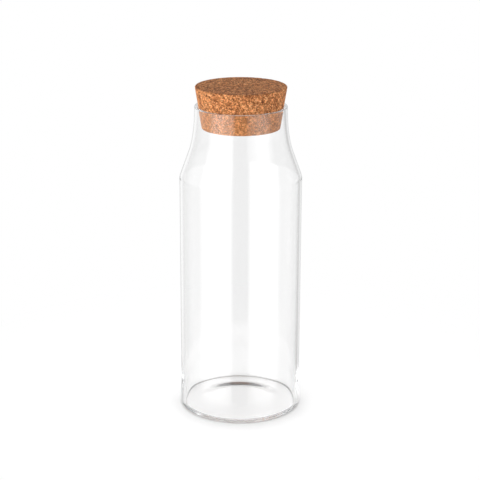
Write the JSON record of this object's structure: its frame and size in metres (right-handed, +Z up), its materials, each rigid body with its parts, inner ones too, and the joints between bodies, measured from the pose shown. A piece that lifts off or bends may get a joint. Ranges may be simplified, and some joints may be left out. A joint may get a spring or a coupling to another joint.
{
  "type": "glass bottle with cork stopper",
  "caption": "Clear thin-walled cylindrical glass bottle with a hollow-curved neck, a flat-topped lip and a tapered pressed-cork stopper that lifts out.",
  "frame": {"origin": "centre of the ring that the bottle stands on", "axes": "+Z up along the bottle's axis, from the base to the mouth; X and Y are alike, because both pieces are turned"},
  "size_m": [0.086, 0.086, 0.2318],
  "materials": {
    "clear_glass": "clear, smooth, lip ground level and polished",
    "pressed_cork": "matt pressed cork granules, ground sides and faces"
  },
  "bodies": {
    "bottle": {"glass_bottle": "clear_glass"},
    "stopper": {"cork_stopper": "pressed_cork"}
  },
  "joints": [
    {"name": "stopper_lift", "type": "slide", "parent": "bottle", "child": "stopper", "axis": [0, 0, 1], "range_m": [0, 0.09]}
  ]
}
